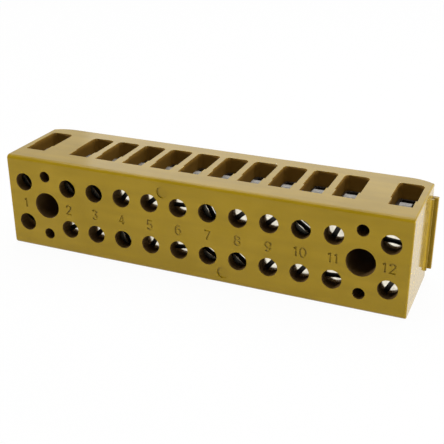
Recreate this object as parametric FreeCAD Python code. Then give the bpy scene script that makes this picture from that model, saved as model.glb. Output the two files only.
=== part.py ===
"""Twelve-way screw terminal strip: one moulded housing with a clamp above and a clamp below in
each way, every clamp a steel yoke drawn up by its own slotted screw, and one current bar a way.

All lengths are millimetres. X runs along the strip, Y from the screw face to the back, and Z up
to the upper wire entries. The origin is the middle of the face that the strip rests on.
"""
import FreeCAD
import Part

import math
import os

# Ways and the plan of the housing
WAYS = 12
CHAMBER_WIDTH = 6.3
PARTITION = 1.7
END_PARTITION = 7.1
END_WALL = 1.7
FRONT_WALL = 6.4
NECK_DEPTH = 4.0
CHAMBER_DEPTH = 10.1
BACK_WALL = 4.4
HEIGHT = 25.8
WEB_THICKNESS = 4.8
CHAMBER_CORNER = 1.2
FRONT_EDGE_ROUND = 1.1
SIDE_EDGE_ROUND = 0.4

# Rounded back corners, seen from above
BACK_CORNER_RADIUS = 10.7
BACK_CORNER_RUN = 6.1

# Two stepped holes that hold the strip to a panel, and four plain ones beside them
WELL_DIAMETER = 7.2
MOUNT_HOLE_DIAMETER = 4.5
MOUNT_FLOOR = 6.0
SMALL_HOLE_DIAMETER = 3.0
SMALL_HOLE_OFFSET = 8.2

# Coupling rail on each end face
RAIL_HEIGHT = 19.3
FIRST_RIB_PROUD = 0.6
SECOND_RIB_PROUD = 1.55
FIRST_RIB_THICKNESS = 0.9
SECOND_RIB_THICKNESS = 1.2
RIB_GROOVE = 0.6
RIB_ROOT_ROUND = 0.5
RIB_TIP_ROUND = 0.25

# Clamp screws
THREAD_DIAMETER = 3.0
THREAD_PITCH = 0.5
SCREW_TURNS = 8
ACCESS_DIAMETER = 4.9
HEAD_CLEARANCE = 0.15
HEAD_THICKNESS = 2.0
HEAD_TO_POCKET = 2.0
HEAD_CHAMFER = 0.25
TIP_CHAMFER = 0.4
TIP_GAP = 0.15
SLOT_WIDTH = 1.2
SLOT_DEPTH = 1.0

# Slot directions in degrees, from +X towards +Z, as the screws were left
UPPER_SLOT_ANGLES = (-55, -50, -50, 52, 40, 5, -62, 42, 43, -35, 66, -5)
LOWER_SLOT_ANGLES = (-40, 30, 46, -65, 60, 10, -30, -38, 52, 52, 5, 62)

# Clamp yokes
THREAD_CLEARANCE = 0.05
PLATE_THICKNESS = 1.5
YOKE_HEIGHT = 6.2
YOKE_WALL = 0.7
YOKE_STEP = 0.4
YOKE_OUTER_ROUND = 0.8
YOKE_INNER_ROUND = 0.3
NECK_CLEARANCE = 0.25
CHAMBER_CLEARANCE = 0.25
FLOOR_CLEARANCE = 0.3
STOP_GAP = 0.2
REAR_GAP = 0.3

# Current bars
BAR_WIDTH = 3.0
BAR_THICKNESS = 2.3
BAR_END_INSET = 2.45
BAR_CLEARANCE = 0.35
BAR_END_CHAMFER = 0.4

# Places that follow from the sizes: depths are taken from the screw face
PITCH = CHAMBER_WIDTH + PARTITION
END_STEP = CHAMBER_WIDTH + END_PARTITION
LAST_INNER_X = (WAYS - 3) / 2 * PITCH
END_WAY_X = LAST_INNER_X + END_STEP
MOUNT_X = LAST_INNER_X + END_STEP / 2
LENGTH = 2 * (END_WAY_X + CHAMBER_WIDTH / 2 + END_WALL)
SHOULDER = FRONT_WALL + NECK_DEPTH
CHAMBER_REAR = SHOULDER + CHAMBER_DEPTH
DEPTH = CHAMBER_REAR + BACK_WALL
CHAMBER_FLOOR = WEB_THICKNESS / 2

TRAVEL = SCREW_TURNS * THREAD_PITCH
YOKE_NECK_INNER = BAR_WIDTH + 2 * BAR_CLEARANCE
YOKE_NECK_OUTER = YOKE_NECK_INNER + 2 * YOKE_WALL
YOKE_LOOP_OUTER = CHAMBER_WIDTH - 2 * CHAMBER_CLEARANCE
YOKE_LOOP_INNER = YOKE_LOOP_OUTER - 2 * YOKE_WALL
NECK_WIDTH = YOKE_NECK_OUTER + 2 * NECK_CLEARANCE
PLATE_FRONT = FRONT_WALL + STOP_GAP + TRAVEL
PLATE_REAR = PLATE_FRONT + PLATE_THICKNESS
LOOP_FRONT = SHOULDER + STOP_GAP + TRAVEL
LOOP_REAR = CHAMBER_REAR - REAR_GAP
BAR_FRONT = PLATE_REAR + STOP_GAP
ROW_OFFSET = CHAMBER_FLOOR + FLOOR_CLEARANCE + YOKE_HEIGHT / 2
HEAD_FRONT = FRONT_WALL - HEAD_TO_POCKET - HEAD_THICKNESS
SCREW_TIP = BAR_FRONT - TIP_GAP

# How far a cutting tool runs past the face that it opens, and a rib sinks into its wall
PAST = 1.0


def point(x, depth, z=0.0):
    """A place from its depth behind the screw face and its height over mid-height."""
    return FreeCAD.Vector(x, depth - DEPTH / 2, z + HEIGHT / 2)


def rounded_outline(corners, z):
    """A closed wire through (x, depth, radius) corners, each turned into an arc of its radius."""
    count = len(corners)
    places = [point(x, depth, z) for x, depth, _ in corners]
    edges = []
    ends = []
    for index, (_, _, radius) in enumerate(corners):
        corner = places[index]
        if radius == 0:
            ends.append((corner, corner))
            continue
        before = (places[index - 1] - corner).normalize()
        after = (places[(index + 1) % count] - corner).normalize()
        half_angle = before.getAngle(after) / 2
        run = radius / math.tan(half_angle)
        start = corner + before * run
        stop = corner + after * run
        to_arc = radius / math.sin(half_angle) - radius
        middle = corner + (before + after).normalize() * to_arc
        edges.append(Part.Arc(start, middle, stop).toShape())
        ends.append((start, stop))
    for index in range(count):
        start = ends[index][1]
        stop = ends[(index + 1) % count][0]
        edges.append(Part.makeLine(start, stop))
    return Part.Wire(Part.__sortEdges__(edges))


def prism(corners, z_low, z_high):
    """An upright solid on a rounded outline."""
    face = Part.Face(rounded_outline(corners, z_low))
    return face.extrude(FreeCAD.Vector(0, 0, z_high - z_low))


def mirrored_corners(half):
    """The whole outline of a shape that is the same left and right, from its right half."""
    left = [(-x, depth, radius) for x, depth, radius in reversed(half)]
    return list(half) + left


def across(diameter, x, depth_start, depth_end, z):
    """A round rod along Y, given by the depths of its two ends."""
    return Part.makeCylinder(
        diameter / 2, depth_end - depth_start, point(x, depth_start, z), FreeCAD.Vector(0, 1, 0)
    )


def way_places():
    """The X of each way, from the first to the last."""
    inner = [index * PITCH - LAST_INNER_X for index in range(WAYS - 2)]
    return [-END_WAY_X] + inner + [END_WAY_X]


def housing_block():
    """The solid block with its rounded back corners and softened edges."""
    half = LENGTH / 2
    drop = BACK_CORNER_RADIUS - math.sqrt(BACK_CORNER_RADIUS**2 - BACK_CORNER_RUN**2)
    half_sweep = math.asin(BACK_CORNER_RUN / BACK_CORNER_RADIUS) / 2
    bulge_x = half - BACK_CORNER_RUN + BACK_CORNER_RADIUS * math.sin(half_sweep)
    bulge_depth = DEPTH - BACK_CORNER_RADIUS * (1 - math.cos(half_sweep))
    z_low = -HEIGHT / 2

    def right_and_left(x, depth):
        return point(x, depth, z_low), point(-x, depth, z_low)

    front_right, front_left = right_and_left(half, 0)
    side_right, side_left = right_and_left(half, DEPTH - drop)
    bulge_right, bulge_left = right_and_left(bulge_x, bulge_depth)
    back_right, back_left = right_and_left(half - BACK_CORNER_RUN, DEPTH)
    outline = Part.Wire([
        Part.makeLine(front_left, front_right),
        Part.makeLine(front_right, side_right),
        Part.Arc(side_right, bulge_right, back_right).toShape(),
        Part.makeLine(back_right, back_left),
        Part.Arc(back_left, bulge_left, side_left).toShape(),
        Part.makeLine(side_left, front_left),
    ])
    block = Part.Face(outline).extrude(FreeCAD.Vector(0, 0, HEIGHT))

    front_y = point(0, 0).y

    def long_in_front(edge):
        box = edge.BoundBox
        return box.XLength > LENGTH / 2 and box.YMax - front_y < 2 * FRONT_EDGE_ROUND

    def upright_at_back(edge):
        box = edge.BoundBox
        return box.ZLength > HEIGHT / 2 and box.YMin - front_y > FRONT_EDGE_ROUND

    front_edges = [edge for edge in block.Edges if long_in_front(edge)]
    block = block.makeFillet(FRONT_EDGE_ROUND, front_edges)
    other_edges = [
        edge for edge in block.Edges
        if not (long_in_front(edge) or upright_at_back(edge))
    ]
    return block.makeFillet(SIDE_EDGE_ROUND, other_edges)


def coupling_rail(side):
    """The stepped rail on one end face: a low rib, a groove and a taller rib behind it."""
    face = LENGTH / 2
    drop = BACK_CORNER_RADIUS - math.sqrt(BACK_CORNER_RADIUS**2 - BACK_CORNER_RUN**2)
    second_back = DEPTH - drop
    second_front = second_back - SECOND_RIB_THICKNESS
    first_back = second_front - RIB_GROOVE
    first_front = first_back - FIRST_RIB_THICKNESS
    foot = first_front - 2 * RIB_ROOT_ROUND
    corners = [
        (face - PAST, foot, 0),
        (face, foot, 0),
        (face, first_front, RIB_ROOT_ROUND),
        (face + FIRST_RIB_PROUD, first_front, 0),
        (face + FIRST_RIB_PROUD, first_back, 0),
        (face, first_back, 0),
        (face, second_front, 0),
        (face + SECOND_RIB_PROUD, second_front, RIB_TIP_ROUND),
        (face + SECOND_RIB_PROUD, second_back, RIB_TIP_ROUND),
        (face - PAST, second_back, 0),
    ]
    turned = [(side * x, depth, radius) for x, depth, radius in corners]
    return prism(turned, -RAIL_HEIGHT / 2, RAIL_HEIGHT / 2)


def chamber_cutter(x, side):
    """The hollow of one clamp: a neck for the screw end and a wider chamber behind it."""
    right = [
        (NECK_WIDTH / 2, FRONT_WALL, 0),
        (NECK_WIDTH / 2, SHOULDER, 0),
        (CHAMBER_WIDTH / 2, SHOULDER, 0),
        (CHAMBER_WIDTH / 2, CHAMBER_REAR, CHAMBER_CORNER),
    ]
    corners = [(x + offset, depth, radius) for offset, depth, radius in mirrored_corners(right)]
    low, high = sorted((side * CHAMBER_FLOOR, side * (HEIGHT / 2 + PAST)))
    return prism(corners, low, high)


def bar_slot(x):
    """The slot in the web that grips one current bar."""
    return Part.makeBox(
        BAR_WIDTH, BAR_THICKNESS, WEB_THICKNESS + 2 * PAST,
        point(x - BAR_WIDTH / 2, BAR_FRONT, -CHAMBER_FLOOR - PAST),
    )


def make_housing():
    """The moulded housing, with everything cut that a wire, a screw or a bar goes through."""
    housing = housing_block().fuse([coupling_rail(1), coupling_rail(-1)]).removeSplitter()
    cutters = []
    for x in way_places():
        cutters.append(bar_slot(x))
        for side in (1, -1):
            cutters.append(chamber_cutter(x, side))
            cutters.append(across(ACCESS_DIAMETER, x, -PAST, FRONT_WALL + PAST, side * ROW_OFFSET))
    for x in (-MOUNT_X, MOUNT_X):
        cutters.append(across(WELL_DIAMETER, x, -PAST, DEPTH - MOUNT_FLOOR, 0))
        cutters.append(across(MOUNT_HOLE_DIAMETER, x, -PAST, DEPTH + PAST, 0))
        for z in (-SMALL_HOLE_OFFSET, SMALL_HOLE_OFFSET):
            cutters.append(across(SMALL_HOLE_DIAMETER, x, -PAST, DEPTH + PAST, z))
    return housing.cut(cutters).Solids[0]


def make_bar(x):
    """One current bar, chamfered at its ends so that it enters its slot."""
    length = HEIGHT - 2 * BAR_END_INSET
    bar = Part.makeBox(
        BAR_WIDTH, BAR_THICKNESS, length, point(x - BAR_WIDTH / 2, BAR_FRONT, -length / 2)
    )
    long_end_edges = [
        edge for edge in bar.Edges if edge.BoundBox.XLength > BAR_WIDTH / 2
    ]
    return bar.makeChamfer(BAR_END_CHAMFER, long_end_edges)


def make_yoke(x, z):
    """One clamp yoke: a threaded plate, a neck round the bar and a loop for the wire."""
    outer = mirrored_corners([
        (YOKE_NECK_OUTER / 2, PLATE_FRONT, 0),
        (YOKE_NECK_OUTER / 2, LOOP_FRONT, 0),
        (YOKE_LOOP_OUTER / 2, LOOP_FRONT, 0),
        (YOKE_LOOP_OUTER / 2, LOOP_REAR, YOKE_OUTER_ROUND),
    ])
    inner = mirrored_corners([
        (YOKE_NECK_INNER / 2, PLATE_REAR, 0),
        (YOKE_NECK_INNER / 2, LOOP_FRONT + YOKE_STEP, 0),
        (YOKE_LOOP_INNER / 2, LOOP_FRONT + YOKE_STEP, 0),
        (YOKE_LOOP_INNER / 2, LOOP_REAR - YOKE_WALL, YOKE_INNER_ROUND),
    ])
    low = -YOKE_HEIGHT / 2
    yoke = prism(outer, low, -low).cut(prism(inner, low - PAST, PAST - low))
    hole = across(
        THREAD_DIAMETER + 2 * THREAD_CLEARANCE, 0, PLATE_FRONT - PAST, PLATE_REAR + PAST, 0
    )
    yoke = yoke.cut(hole).Solids[0]
    yoke.translate(FreeCAD.Vector(x, 0, z))
    return yoke


def make_screw(x, z, slot_angle):
    """One cheese-head clamp screw with its slot turned to the given angle."""
    head = ACCESS_DIAMETER / 2 - HEAD_CLEARANCE
    shank = THREAD_DIAMETER / 2
    head_rear = HEAD_FRONT + HEAD_THICKNESS
    profile = [
        (0, HEAD_FRONT),
        (head - HEAD_CHAMFER, HEAD_FRONT),
        (head, HEAD_FRONT + HEAD_CHAMFER),
        (head, head_rear),
        (shank, head_rear),
        (shank, SCREW_TIP - TIP_CHAMFER),
        (shank - TIP_CHAMFER, SCREW_TIP),
        (0, SCREW_TIP),
        (0, HEAD_FRONT),
    ]
    wire = Part.makePolygon([point(radius, depth) for radius, depth in profile])
    axis = FreeCAD.Vector(0, 1, 0)
    screw = Part.Face(wire).revolve(point(0, 0), axis, 360)
    slot = Part.makeBox(
        2 * ACCESS_DIAMETER, SLOT_DEPTH + PAST, SLOT_WIDTH,
        point(-ACCESS_DIAMETER, HEAD_FRONT - PAST, -SLOT_WIDTH / 2),
    )
    slot.rotate(point(0, 0), axis, -slot_angle)
    screw = screw.cut(slot).Solids[0]
    screw.translate(FreeCAD.Vector(x, 0, z))
    return screw


def export(name, shape):
    """Write one piece and stop if it is not sound."""
    if not shape.isValid():
        raise ValueError(name + " is not a valid solid")
    shape.exportStep(os.path.join("parts", name + ".step"))
    print(name, "solids", len(shape.Solids), "volume", round(shape.Volume, 2))


def main():
    os.makedirs("parts", exist_ok=True)
    export("housing", make_housing())
    export("current_bars", Part.makeCompound([make_bar(x) for x in way_places()]))
    rows = (("upper", ROW_OFFSET, UPPER_SLOT_ANGLES), ("lower", -ROW_OFFSET, LOWER_SLOT_ANGLES))
    for row, z, angles in rows:
        for index, x in enumerate(way_places()):
            label = "{}_{:02d}".format(row, index + 1)
            export("clamp_yoke_" + label, make_yoke(x, z))
            export("clamp_screw_" + label, make_screw(x, z, angles[index % len(angles)]))


main()
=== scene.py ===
"""The looks of the screw terminal strip: a moulded ochre housing with engraved way numbers,
plated clamp yokes and turned, slotted clamp screws, on a plain pale floor.

Metres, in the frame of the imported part: X along the strip, Y from the screw face to the back,
Z up.
"""
import math

import bpy
from mathutils import Matrix, Vector


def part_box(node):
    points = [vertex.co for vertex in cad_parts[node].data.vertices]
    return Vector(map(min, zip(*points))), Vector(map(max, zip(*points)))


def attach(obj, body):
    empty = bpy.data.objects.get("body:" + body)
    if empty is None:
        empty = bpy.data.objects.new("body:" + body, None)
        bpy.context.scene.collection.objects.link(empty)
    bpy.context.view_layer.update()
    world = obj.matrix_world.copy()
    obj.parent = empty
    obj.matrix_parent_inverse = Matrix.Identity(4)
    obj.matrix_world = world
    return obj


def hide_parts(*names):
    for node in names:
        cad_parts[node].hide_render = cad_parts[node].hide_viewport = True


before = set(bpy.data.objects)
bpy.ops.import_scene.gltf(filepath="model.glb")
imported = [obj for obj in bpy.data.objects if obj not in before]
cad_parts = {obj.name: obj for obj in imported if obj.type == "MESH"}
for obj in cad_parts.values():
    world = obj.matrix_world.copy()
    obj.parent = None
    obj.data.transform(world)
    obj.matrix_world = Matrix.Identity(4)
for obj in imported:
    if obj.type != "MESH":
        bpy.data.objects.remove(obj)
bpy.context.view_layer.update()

MM = 0.001

# Two points this close count as one place, and vertices this close are merged
NEAR = 0.01 * MM
MERGE = 0.001 * MM

# Where the photograph was taken from
CAMERA_PLACE = Vector((80.55, -183.01, 102.71)) * MM
CAMERA_AZIMUTH = math.radians(23.05)
CAMERA_ELEVATION = math.radians(24.79)
CAMERA_ROLL = math.radians(-0.2)
CAMERA_FIELD = math.radians(29.64)

# How white the floor looks to rays that see it; the rest of its look keeps the shadow
FLOOR_WHITENESS = 0.95
FLOOR_SIZE = 8
ROOM_LIGHT = 0.08

# Tone of the room that gloss sees before the screw face
DIM_ROOM = 0.1

# The strip
WAYS = 12
ROWS = ("upper", "lower")
FRONT_WALL = 6.4 * MM
WELL_PLACE = 42.7 * MM
RIM_ROUND = 0.05 * MM

# A wall belongs to a hollow, and gets painted shade, if it faces another within this reach, or
# lies this deep
HOLLOW_WIDTH = 12 * MM
DEEP_INSIDE = 2 * MM

# Entries lie this far off mid-height and clear of the wells
WEB_HALF = 2.2 * MM
WELL_REACH = 3 * MM

# Angles above which an edge counts as sharp, below which it shades smooth or is no edge at all
SHARP = math.radians(50)
SMOOTH = math.radians(35)
FLAT = math.radians(1)

# Engraved way numbers: one round-nosed cutter follows the strokes
DIGIT_HEIGHT = 2.45 * MM
DIGIT_WIDTH = 1.45 * MM
ONE_WIDTH = 0.6 * MM
DIGIT_GAP = 0.95 * MM
DIGIT_DROP = 0.1 * MM
STROKE_RADIUS = 0.26 * MM
STROKE_DEPTH = 0.24 * MM
ARC_STEP = 15

# Round moulding marks sunk in the screw face: across, up from mid-height, radius
MOULD_MARKS = ((-8.3 * MM, 9.3 * MM, 1.5 * MM), (8.1 * MM, -9.7 * MM, 1.6 * MM))
MARK_DEPTH = 0.3 * MM
MARK_SLOPE = 0.04 * MM
MARK_SIDES = 48

# Clamp screws
HEAD_RADIUS = 2.3 * MM
HEAD_THICKNESS = 2.0 * MM
HEAD_CHAMFER = 0.22 * MM
HEAD_SIDES = 64
SLOT_WIDTH = 1.2 * MM
SLOT_DEPTH = 1.0 * MM
SLOT_SIDE_STRIP = 0.2 * MM
SHANK_SIDES = 32
PLAIN_SHANK = 0.9 * MM
TIP_CHAMFER = 0.3 * MM
THREAD_RADIUS = 1.5 * MM
THREAD_ROOT = 1.22 * MM
THREAD_PITCH = 0.5 * MM
THREAD_FOOT = 0.46 * MM
THREAD_CREST = 0.07 * MM
THREAD_SINK = 0.02 * MM
THREAD_STEPS = 28
THREAD_TO_TIP = 0.45 * MM
UPPER_SLOT_ANGLES = (-55, -50, -50, 52, 40, 5, -62, 42, 43, -35, 66, -5)
LOWER_SLOT_ANGLES = (-40, 30, 46, -65, 60, 10, -30, -38, 52, 52, 5, 62)

# Ways whose screw head front gets a dark steel, but for the strips beside its slot, which keep
# the bright steel
DARK_HEADS = {"upper": (1, 2, 3, 7, 10), "lower": (4, 7, 8)}

# Clamp yokes and current bars
METAL_EDGE = 0.09 * MM

# Patterns in the materials, in repeats a metre
CLOUDS = 110
FLOW = 420
GRAIN = 6500
PATCHES = 900
SCRATCHES = 5200

# Turns a primitive's own axis from Z to Y
LYING = (math.pi / 2, 0, 0)


def deselect():
    bpy.ops.object.select_all(action="DESELECT")


def activate(piece):
    """Make one object the only selected one."""
    deselect()
    piece.select_set(True)
    bpy.context.view_layer.objects.active = piece


def open_mesh(piece, mode):
    """Open one object's mesh with the selection that it has."""
    activate(piece)
    bpy.ops.object.mode_set(mode="EDIT")
    bpy.ops.mesh.select_mode(type=mode)


def edit(piece, select="SELECT"):
    """Open one object's mesh with everything or nothing selected."""
    open_mesh(piece, "VERT")
    bpy.ops.mesh.select_all(action=select)


def leave_edit():
    bpy.ops.object.mode_set(mode="OBJECT")


def add_primitive(add, scale=(1, 1, 1), **settings):
    """A primitive with its size and place applied to its mesh."""
    deselect()
    add(**settings)
    piece = bpy.context.active_object
    piece.scale = scale
    bpy.ops.object.transform_apply()
    return piece


def merged_copy(node, name):
    """A copy of a CAD node's mesh with its doubles merged and its flats whole."""
    piece = bpy.data.objects.new(name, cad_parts[node].data.copy())
    bpy.context.scene.collection.objects.link(piece)
    piece.data.materials.clear()
    edit(piece)
    bpy.ops.mesh.customdata_custom_splitnormals_clear()
    bpy.ops.mesh.remove_doubles(threshold=MERGE)
    bpy.ops.mesh.dissolve_limited(angle_limit=FLAT)
    leave_edit()
    return piece


def select_edges(piece, wanted):
    """Open the mesh with just the sharp edges selected that lie where wanted says."""
    edit(piece, "DESELECT")
    bpy.ops.mesh.select_mode(type="EDGE")
    bpy.ops.mesh.edges_select_sharp(sharpness=SHARP)
    leave_edit()
    mesh = piece.data
    places = [vertex.co for vertex in mesh.vertices]
    for edge in mesh.edges:
        ends = [places[index] for index in edge.vertices]
        edge.select = edge.select and wanted(*ends)
    open_mesh(piece, "EDGE")


def soften(piece, width, segments, wanted=lambda start, end: True):
    """Round the chosen sharp edges."""
    select_edges(piece, wanted)
    bpy.ops.mesh.bevel(
        offset=width, segments=segments, affect="EDGES", clamp_overlap=False, loop_slide=False
    )
    leave_edit()


def apply_modifier(piece, kind, **settings):
    """Add one modifier with its settings and apply it."""
    modifier = piece.modifiers.new(kind.lower(), kind)
    for name, value in settings.items():
        setattr(modifier, name, value)
    activate(piece)
    bpy.ops.object.modifier_apply(modifier=modifier.name)


def smooth(piece):
    """Round shading over the small edge faces that leaves the flats flat."""
    activate(piece)
    bpy.ops.object.shade_smooth_by_angle(angle=SMOOTH)
    apply_modifier(piece, "WEIGHTED_NORMAL", mode="FACE_AREA", weight=100, keep_sharp=True)


def coat(piece, material):
    """Give a whole piece one material."""
    piece.data.materials.clear()
    piece.data.materials.append(material)
    for face in piece.data.polygons:
        face.material_index = 0


def combine(piece, other, operation):
    """Join one closed mesh to another, or cut it out, and delete it."""
    apply_modifier(piece, "BOOLEAN", operation=operation, solver="MANIFOLD", object=other)
    bpy.data.objects.remove(other)


# Materials


def grey(tone):
    return (tone, tone, tone)


def shader(name):
    """A new node material, its tree and its Principled node."""
    material = bpy.data.materials.new(name)
    material.use_nodes = True
    tree = material.node_tree
    return material, tree, tree.nodes["Principled BSDF"]


def add_node(tree, kind, inputs=None, **settings):
    node = tree.nodes.new(kind)
    for name, value in settings.items():
        setattr(node, name, value)
    for name, value in (inputs or {}).items():
        node.inputs[name].default_value = value
    return node


def noise(tree, repeats, stretch=(1, 1, 1)):
    """A noise in object coordinates, in repeats a metre."""
    coordinates = add_node(tree, "ShaderNodeTexCoord")
    mapping = add_node(tree, "ShaderNodeMapping", {"Scale": stretch})
    texture = add_node(tree, "ShaderNodeTexNoise", {"Scale": repeats})
    tree.links.new(coordinates.outputs["Object"], mapping.inputs["Vector"])
    tree.links.new(mapping.outputs["Vector"], texture.inputs["Vector"])
    return texture.outputs["Fac"]


def ramp(tree, source, stops):
    """A colour ramp on a value, from two stops of (place, colour)."""
    node = add_node(tree, "ShaderNodeValToRGB")
    for element, (place, colour) in zip(node.color_ramp.elements, stops):
        element.position = place
        element.color = (*colour, 1)
    tree.links.new(source, node.inputs["Fac"])
    return node.outputs["Color"]


def multiply_colours(tree, first, second):
    node = add_node(tree, "ShaderNodeMix", data_type="RGBA", blend_type="MULTIPLY")
    node.inputs["Factor"].default_value = 1.0
    tree.links.new(first, node.inputs["A"])
    tree.links.new(second, node.inputs["B"])
    return node.outputs["Result"]


def maths(tree, operation, first, second):
    """A sum on two values, of which the second may be a plain number."""
    node = add_node(tree, "ShaderNodeMath", operation=operation)
    tree.links.new(first, node.inputs[0])
    if isinstance(second, float):
        node.inputs[1].default_value = second
    else:
        tree.links.new(second, node.inputs[1])
    return node.outputs["Value"]


def bump(tree, principled, heights, strength, distance):
    """Stack a bump for each height on a Principled node."""
    normal = None
    for height in heights:
        node = add_node(tree, "ShaderNodeBump", {"Strength": strength, "Distance": distance})
        tree.links.new(height, node.inputs["Height"])
        if normal:
            tree.links.new(normal, node.inputs["Normal"])
        normal = node.outputs["Normal"]
    tree.links.new(normal, principled.inputs["Normal"])


def moulded_ochre(name, low_tone, high_tone, gloss_range, sheen):
    """Mineral-filled ochre moulding: faint flow marks, a fine grain and a satin skin."""
    material, tree, principled = shader(name)
    clouds = noise(tree, CLOUDS)
    flow = noise(tree, FLOW, stretch=(0.12, 1, 1))
    grain = noise(tree, GRAIN)
    tone = ramp(tree, clouds, ((0.3, low_tone), (0.7, high_tone)))
    streaks = ramp(tree, flow, ((0.35, (0.90, 0.90, 0.86)), (0.65, grey(1.0))))
    speckle = ramp(tree, grain, ((0.35, (0.93, 0.92, 0.88)), (0.6, grey(1.0))))
    colour = multiply_colours(tree, tone, streaks)
    colour = multiply_colours(tree, colour, speckle)
    tree.links.new(colour, principled.inputs["Base Color"])
    smoothest, roughest = gloss_range
    gloss = ramp(tree, flow, ((0.3, grey(smoothest)), (0.7, grey(roughest))))
    tree.links.new(gloss, principled.inputs["Roughness"])
    principled.inputs["IOR"].default_value = 1.31
    principled.inputs["Sheen Weight"].default_value = sheen
    principled.inputs["Sheen Roughness"].default_value = 0.3
    bump(tree, principled, (flow, grain), strength=0.015, distance=0.02 * MM)
    return material


def plated_steel(name, colour, roughness, anisotropic=0.0, tangent_axis=None):
    """Plated steel with fine tool marks, turned about an axis where one is given."""
    material, tree, principled = shader(name)
    patches = noise(tree, PATCHES)
    scratches = noise(tree, SCRATCHES, stretch=(1, 1, 0.2))
    darker = tuple(0.72 * part for part in colour)
    tone = ramp(tree, patches, ((0.3, darker), (0.65, colour)))
    tree.links.new(tone, principled.inputs["Base Color"])
    worn = ramp(tree, scratches, ((0.3, grey(0.8 * roughness)), (0.7, grey(1.25 * roughness))))
    tree.links.new(worn, principled.inputs["Roughness"])
    principled.inputs["Metallic"].default_value = 1.0
    bump(tree, principled, (scratches,), strength=0.15, distance=0.01 * MM)
    if tangent_axis:
        principled.inputs["Anisotropic"].default_value = anisotropic
        tangent = add_node(tree, "ShaderNodeTangent", direction_type="RADIAL", axis=tangent_axis)
        tree.links.new(tangent.outputs["Tangent"], principled.inputs["Tangent"])
    return material


def white_on_sight(tree, lit, share):
    """Mix a lit surface with what rays that see it get; the caller links that one."""
    path = add_node(tree, "ShaderNodeLightPath")
    seen = path.outputs["Is Camera Ray"]
    for ray in ("Is Glossy Ray", "Is Transmission Ray"):
        seen = maths(tree, "MAXIMUM", seen, path.outputs[ray])
    mix = add_node(tree, "ShaderNodeMixShader")
    tree.links.new(maths(tree, "MULTIPLY", seen, share), mix.inputs["Fac"])
    tree.links.new(lit, mix.inputs[1])
    return mix


# Housing


def arc(centre_x, centre_z, radius_x, radius_z, start, stop):
    """Points on an arc in a digit's own square, in degrees counted from +X."""
    steps = max(4, round(abs(stop - start) / ARC_STEP))
    turns = [math.radians(start + (stop - start) * step / steps) for step in range(steps + 1)]
    return [(centre_x + radius_x * math.cos(a), centre_z + radius_z * math.sin(a)) for a in turns]


def turned_round(strokes):
    """The same strokes turned half round in the digit's square."""
    return [[(1 - x, 1 - z) for x, z in stroke] for stroke in strokes]


SIX = [arc(0.5, 0.32, 0.48, 0.32, 0, 360), arc(0.62, 0.5, 0.6, 0.5, 182, 62)]
DIGITS = {
    "0": [arc(0.5, 0.5, 0.5, 0.5, 0, 360)],
    "1": [[(0.0, 0.8), (0.85, 1.0), (0.85, 0.0)]],
    "2": [arc(0.5, 0.7, 0.46, 0.3, 165, -35) + [(0.0, 0.0), (1.0, 0.0)]],
    "3": [arc(0.46, 0.76, 0.42, 0.24, 150, -90), arc(0.46, 0.27, 0.48, 0.27, 88, -150)],
    "4": [[(0.72, 0.0), (0.72, 1.0)], [(0.66, 1.0), (0.0, 0.28), (1.0, 0.28)]],
    "5": [[(0.9, 1.0), (0.16, 1.0), (0.08, 0.52)] + arc(0.46, 0.31, 0.5, 0.31, 130, -150)],
    "6": SIX,
    "7": [[(0.0, 1.0), (1.0, 1.0), (0.35, 0.0)]],
    "8": [arc(0.5, 0.76, 0.42, 0.24, 0, 360), arc(0.5, 0.26, 0.5, 0.26, 0, 360)],
    "9": turned_round(SIX),
}


def engraving_tool(stroke, centre):
    """A round bar along one stroke, as the cutter's path through the screw face."""
    curve = bpy.data.curves.new("stroke", "CURVE")
    curve.dimensions = "3D"
    curve.bevel_depth = STROKE_RADIUS
    curve.bevel_resolution = 3
    curve.use_fill_caps = True
    closed = math.dist(stroke[0], stroke[-1]) < NEAR
    points = stroke[:-1] if closed else stroke
    spline = curve.splines.new("POLY")
    spline.points.add(len(points) - 1)
    for point, (x, z) in zip(spline.points, points):
        point.co = (x, 0, z, 1)
    spline.use_cyclic_u = closed
    tool = bpy.data.objects.new("stroke", curve)
    bpy.context.scene.collection.objects.link(tool)
    activate(tool)
    bpy.ops.object.convert(target="MESH")
    edit(tool)
    bpy.ops.mesh.remove_doubles(threshold=MERGE)
    bpy.ops.mesh.normals_make_consistent(inside=False)
    leave_edit()
    flatten = Matrix.Diagonal((1, STROKE_DEPTH / STROKE_RADIUS, 1, 1))
    tool.data.transform(Matrix.Translation(centre) @ flatten)
    return tool


def number_strokes(number):
    """The strokes of a whole number, centred on the middle of its own height and width."""
    text = str(number)
    widths = [ONE_WIDTH if digit == "1" else DIGIT_WIDTH for digit in text]
    left = -(sum(widths) + DIGIT_GAP * (len(text) - 1)) / 2
    strokes = []
    for digit, width in zip(text, widths):
        for stroke in DIGITS[digit]:
            strokes.append([(left + x * width, (z - 0.5) * DIGIT_HEIGHT) for x, z in stroke])
        left += width + DIGIT_GAP
    return strokes


def line_hollows(piece, bore_painted_shade, entry_painted_shade):
    """Paint shade on the walls of bores and entries: darker ochre materials in slots 1 and 2."""
    low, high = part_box("housing")
    middle_z = (low.z + high.z) / 2

    def in_entry(place):
        return (
            place.y > low.y + FRONT_WALL + NEAR
            and abs(place.z - middle_z) > WEB_HALF
            and abs(abs(place.x) - WELL_PLACE) > WELL_REACH
        )

    piece.data.materials.append(bore_painted_shade)
    piece.data.materials.append(entry_painted_shade)
    for face in piece.data.polygons:
        start = face.center + face.normal * NEAR
        faces_wall = piece.ray_cast(start, face.normal, distance=HOLLOW_WIDTH)[0]
        deep = all(
            bottom + DEEP_INSIDE < level < top - DEEP_INSIDE
            for bottom, level, top in zip(low, face.center, high)
        )
        if faces_wall or deep:
            face.material_index = 2 if in_entry(face.center) else 1


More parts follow.
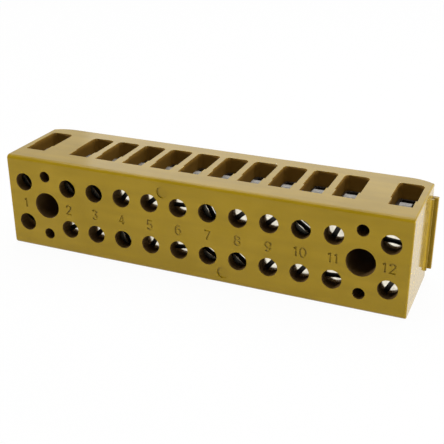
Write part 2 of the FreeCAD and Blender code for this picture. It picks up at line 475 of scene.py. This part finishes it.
def make_housing(skin, bore_painted_shade, entry_painted_shade):
    """The moulding with softened rims, engraved way numbers, two moulding marks and painted shade
    on the walls of its hollows.
    """
    piece = merged_copy("housing", "housing_moulding")
    low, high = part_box("housing")
    middle_z = (low.z + high.z) / 2
    outer_faces = ((1, low.y), (1, high.y), (2, low.z), (2, high.z))

    def on_outer_face(start, end):
        return any(
            abs(start[axis] - level) < NEAR and abs(end[axis] - level) < NEAR
            for axis, level in outer_faces
        )

    soften(piece, RIM_ROUND, 2, on_outer_face)
    for way in range(1, WAYS + 1):
        screw_low, screw_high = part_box("clamp_screw_upper_{:02d}".format(way))
        centre = Vector(((screw_low.x + screw_high.x) / 2, low.y, middle_z - DIGIT_DROP))
        for stroke in number_strokes(way):
            combine(piece, engraving_tool(stroke, centre), "DIFFERENCE")
    for across, up, radius in MOULD_MARKS:
        pin = add_primitive(
            bpy.ops.mesh.primitive_cone_add, vertices=MARK_SIDES,
            radius1=radius - MARK_SLOPE, radius2=radius + MARK_SLOPE, depth=2 * MARK_DEPTH,
            location=(across, low.y, middle_z + up), rotation=LYING,
        )
        combine(piece, pin, "DIFFERENCE")
    smooth(piece)
    coat(piece, skin)
    # Painted shade: darker ochre on the walls of bores and entries
    line_hollows(piece, bore_painted_shade, entry_painted_shade)
    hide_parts("housing")
    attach(piece, "housing")


# Clamp screws


def make_thread(start, stop):
    """A helical ridge between two depths, from one tapered section turned about the shank."""
    turns = int((stop - start) / THREAD_PITCH)
    sunk = THREAD_ROOT - THREAD_SINK
    thread = add_primitive(
        bpy.ops.mesh.primitive_plane_add, scale=(THREAD_RADIUS - sunk, THREAD_FOOT, 1),
        size=1, location=((sunk + THREAD_RADIUS) / 2, start, 0),
    )
    edit(thread, "DESELECT")
    leave_edit()
    for vertex in thread.data.vertices:
        vertex.select = vertex.co.x > THREAD_ROOT
    open_mesh(thread, "VERT")
    bpy.ops.transform.resize(
        value=(1, THREAD_CREST / THREAD_FOOT, 1), center_override=(THREAD_RADIUS, start, 0)
    )
    bpy.ops.mesh.select_all(action="SELECT")
    bpy.ops.mesh.delete(type="ONLY_FACE")
    leave_edit()
    apply_modifier(
        thread, "SCREW", axis="Y", angle=2 * math.pi, screw_offset=THREAD_PITCH,
        iterations=turns, steps=THREAD_STEPS, render_steps=THREAD_STEPS,
        use_normal_calculate=True,
    )
    edit(thread)
    bpy.ops.mesh.fill_holes(sides=0)
    bpy.ops.mesh.normals_make_consistent(inside=False)
    leave_edit()
    return thread


def part_rubbed_edges(screw):
    """Part a narrow strip of the head's front off along each side of the slot."""
    for side in (-1, 1):
        for face in screw.data.polygons:
            face.select = face.center.y < NEAR
        open_mesh(screw, "FACE")
        bpy.ops.mesh.bisect(
            plane_co=(0, 0, side * (SLOT_WIDTH / 2 + SLOT_SIDE_STRIP)), plane_no=(0, 0, side)
        )
        leave_edit()


def make_screw_model():
    """One screw along +Y from its head's front at the origin, with a turned thread."""
    low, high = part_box("clamp_screw_upper_01")
    length = high.y - low.y
    screw = add_primitive(
        bpy.ops.mesh.primitive_cylinder_add, vertices=HEAD_SIDES, radius=HEAD_RADIUS,
        depth=HEAD_THICKNESS, location=(0, HEAD_THICKNESS / 2, 0), rotation=LYING,
    )
    soften(screw, HEAD_CHAMFER, 2, lambda start, end: max(start.y, end.y) < NEAR)

    shank = add_primitive(
        bpy.ops.mesh.primitive_cylinder_add, vertices=SHANK_SIDES, radius=THREAD_ROOT,
        depth=length - HEAD_THICKNESS, location=(0, (length + HEAD_THICKNESS) / 2, 0),
        rotation=LYING,
    )
    soften(shank, TIP_CHAMFER, 1, lambda start, end: min(start.y, end.y) > length - NEAR)

    thread = make_thread(HEAD_THICKNESS + PLAIN_SHANK, length - THREAD_TO_TIP)
    for part in (shank, thread):
        combine(screw, part, "UNION")

    slot_tool = add_primitive(
        bpy.ops.mesh.primitive_cube_add, size=1, location=(0, 0, 0),
        scale=(3 * HEAD_RADIUS, 2 * SLOT_DEPTH, SLOT_WIDTH),
    )
    combine(screw, slot_tool, "DIFFERENCE")
    part_rubbed_edges(screw)
    smooth(screw)
    return screw


def finish_head(screw, slot_painted_shade, front):
    """Give the slot's walls and floor one material, near-black painted shade, and the front, less
    its strips, another.
    """
    screw.data.materials.append(slot_painted_shade)
    screw.data.materials.append(front)
    for face in screw.data.polygons:
        depth, across = face.center.y, abs(face.center.z)
        beside_slot = depth < NEAR and across < SLOT_WIDTH / 2 + SLOT_SIDE_STRIP
        # Painted shade: a near-black steel on the slot's walls and floor
        if NEAR < depth < SLOT_DEPTH + NEAR and across < SLOT_WIDTH / 2 + NEAR:
            face.material_index = 1
        elif depth < HEAD_CHAMFER and not beside_slot:
            face.material_index = 2


def place_screws(bright, dark_front, slot_painted_shade):
    """A copy of the screw in every clamp, its slot turned as it was left."""
    model = make_screw_model()
    coat(model, bright)
    finish_head(model, slot_painted_shade, bright)
    for row, angles in zip(ROWS, (UPPER_SLOT_ANGLES, LOWER_SLOT_ANGLES)):
        for way, angle in enumerate(angles, 1):
            node = "clamp_screw_{}_{:02d}".format(row, way)
            low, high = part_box(node)
            place = Matrix.Translation(((low.x + high.x) / 2, low.y, (low.z + high.z) / 2))
            turn = Matrix.Rotation(-math.radians(angle), 4, "Y")
            piece = bpy.data.objects.new("turned_" + node, model.data.copy())
            piece.data.transform(place @ turn)
            # These heads get a dark steel front, but for the strips beside the slot
            if way in DARK_HEADS[row]:
                piece.data.materials[2] = dark_front
            bpy.context.scene.collection.objects.link(piece)
            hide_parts(node)
            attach(piece, node)
    bpy.data.objects.remove(model)


# Clamp yokes and current bars


def softened_metal(node, name, material):
    """A copy of a formed metal piece with its edges rounded."""
    piece = merged_copy(node, name)
    soften(piece, METAL_EDGE, 2)
    smooth(piece)
    coat(piece, material)
    return piece


def place_yokes(material):
    for row in ROWS:
        for way in range(1, WAYS + 1):
            node = "clamp_yoke_{}_{:02d}".format(row, way)
            piece = softened_metal(node, "formed_" + node, material)
            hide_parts(node)
            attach(piece, node)


def place_bars(material):
    piece = softened_metal("current_bars", "plated_current_bars", material)
    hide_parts("current_bars")
    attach(piece, "housing")


# Stage


def make_floor():
    floor = add_primitive(bpy.ops.mesh.primitive_plane_add, size=FLOOR_SIZE)
    floor.name = "floor"
    material, tree, principled = shader("pale_floor")
    principled.inputs["Base Color"].default_value = (0.82, 0.82, 0.81, 1)
    principled.inputs["Roughness"].default_value = 0.9
    white = add_node(tree, "ShaderNodeEmission", {"Color": (1, 1, 1, 1), "Strength": 1.0})
    mix = white_on_sight(tree, principled.outputs["BSDF"], FLOOR_WHITENESS)
    tree.links.new(white.outputs["Emission"], mix.inputs[2])
    tree.links.new(mix.outputs["Shader"], tree.nodes["Material Output"].inputs["Surface"])
    floor.data.materials.append(material)


def seen_room(tree):
    """White all round, but gloss sees a dim room above the floor on the screw face's side."""
    direction = add_node(tree, "ShaderNodeTexCoord")
    parts = add_node(tree, "ShaderNodeSeparateXYZ")
    tree.links.new(direction.outputs["Generated"], parts.inputs["Vector"])
    above = add_node(tree, "ShaderNodeMapRange", {"From Min": 0.0, "From Max": 0.06})
    tree.links.new(parts.outputs["Z"], above.inputs["Value"])
    before = add_node(tree, "ShaderNodeMapRange", {"From Min": 0.1, "From Max": -0.5})
    tree.links.new(parts.outputs["Y"], before.inputs["Value"])
    room = maths(tree, "MULTIPLY", above.outputs["Result"], before.outputs["Result"])
    path = add_node(tree, "ShaderNodeLightPath")
    dim = maths(tree, "MULTIPLY", room, path.outputs["Is Glossy Ray"])
    return ramp(tree, dim, ((0.0, grey(1.0)), (1.0, grey(DIM_ROOM))))


def make_world():
    world = bpy.data.worlds.new("studio")
    bpy.context.scene.world = world
    world.use_nodes = True
    tree = world.node_tree
    soft = tree.nodes["Background"]
    soft.inputs["Color"].default_value = (1, 0.99, 0.97, 1)
    soft.inputs["Strength"].default_value = ROOM_LIGHT
    sweep = add_node(tree, "ShaderNodeBackground", {"Strength": 1.0})
    tree.links.new(seen_room(tree), sweep.inputs["Color"])
    mix = white_on_sight(tree, soft.outputs["Background"], 1.0)
    tree.links.new(sweep.outputs["Background"], mix.inputs[2])
    tree.links.new(mix.outputs["Shader"], tree.nodes["World Output"].inputs["Surface"])


def softbox(name, place, target, size, power):
    """A square lamp that faces its target, with its side in metres and its power in watts."""
    lamp = bpy.data.lights.new(name, "AREA")
    lamp.size = size
    lamp.energy = power
    holder = bpy.data.objects.new(name, lamp)
    holder.location = place
    aim = (Vector(target) - Vector(place)).to_track_quat("-Z", "Y")
    holder.rotation_euler = aim.to_euler()
    bpy.context.scene.collection.objects.link(holder)


def make_camera():
    view = bpy.data.cameras.new("camera")
    view.sensor_fit = "HORIZONTAL"
    view.angle = CAMERA_FIELD
    view.clip_start = 5 * MM
    camera = bpy.data.objects.new("camera", view)
    level = math.cos(CAMERA_ELEVATION)
    forward = Vector((
        -level * math.sin(CAMERA_AZIMUTH), level * math.cos(CAMERA_AZIMUTH),
        -math.sin(CAMERA_ELEVATION),
    ))
    aim = forward.to_track_quat("-Z", "Y").to_matrix().to_4x4()
    roll = Matrix.Rotation(CAMERA_ROLL, 4, "Z")
    camera.matrix_world = Matrix.Translation(CAMERA_PLACE) @ aim @ roll
    bpy.context.scene.collection.objects.link(camera)
    bpy.context.scene.camera = camera


make_camera()
make_world()
make_floor()
softbox("overhead", place=(0.01, 0.12, 0.55), target=(0, 0, 0.01), size=0.80, power=4.9)
softbox("back_glow", place=(-0.24, 1.02, 0.41), target=(0, 0, 0.02), size=0.80, power=1.5)
softbox("low_left", place=(-0.95, -0.58, 0.10), target=(0, 0, 0.012), size=0.20, power=9.4)
softbox("right_side", place=(0.40, -0.02, 0.05), target=(0.05, 0, 0.012), size=0.10, power=1.3)

make_housing(
    skin=moulded_ochre(
        "moulded_ochre", low_tone=(0.315, 0.203, 0.004), high_tone=(0.350, 0.227, 0.009),
        gloss_range=(0.08, 0.13), sheen=0.12,
    ),
    # Painted shade: darker, rougher ochre for the bore walls and, less dark, for the entry walls
    bore_painted_shade=moulded_ochre(
        "moulded_ochre_bore_painted_shade", low_tone=(0.11, 0.062, 0.018), high_tone=(0.13, 0.074, 0.022),
        gloss_range=(0.75, 0.85), sheen=0.0,
    ),
    entry_painted_shade=moulded_ochre(
        "moulded_ochre_entry_painted_shade", low_tone=(0.25, 0.13, 0.015), high_tone=(0.29, 0.15, 0.02),
        gloss_range=(0.6, 0.7), sheen=0.0,
    ),
)
place_screws(
    bright=plated_steel(
        "turned_screw_steel", colour=(0.93, 0.88, 0.74), roughness=0.13,
        anisotropic=0.5, tangent_axis="Y",
    ),
    # A dark steel on some heads' fronts, but for the strips beside the slot
    dark_front=plated_steel("dark_screw_steel", colour=(0.10, 0.10, 0.085), roughness=0.3),
    # Painted shade: near-black steel inside the slots
    slot_painted_shade=plated_steel("slot_painted_shade_steel", colour=(0.05, 0.047, 0.042), roughness=0.35),
)
# Painted shade: yokes and bars get a darker steel than bright plating has, for the dark pockets
# they sit in
place_yokes(plated_steel("plated_yoke_steel", colour=(0.24, 0.23, 0.22), roughness=0.3))
place_bars(plated_steel("nickel_plated_bar", colour=(0.22, 0.21, 0.19), roughness=0.32))

bpy.context.scene.view_settings.view_transform = "Standard"
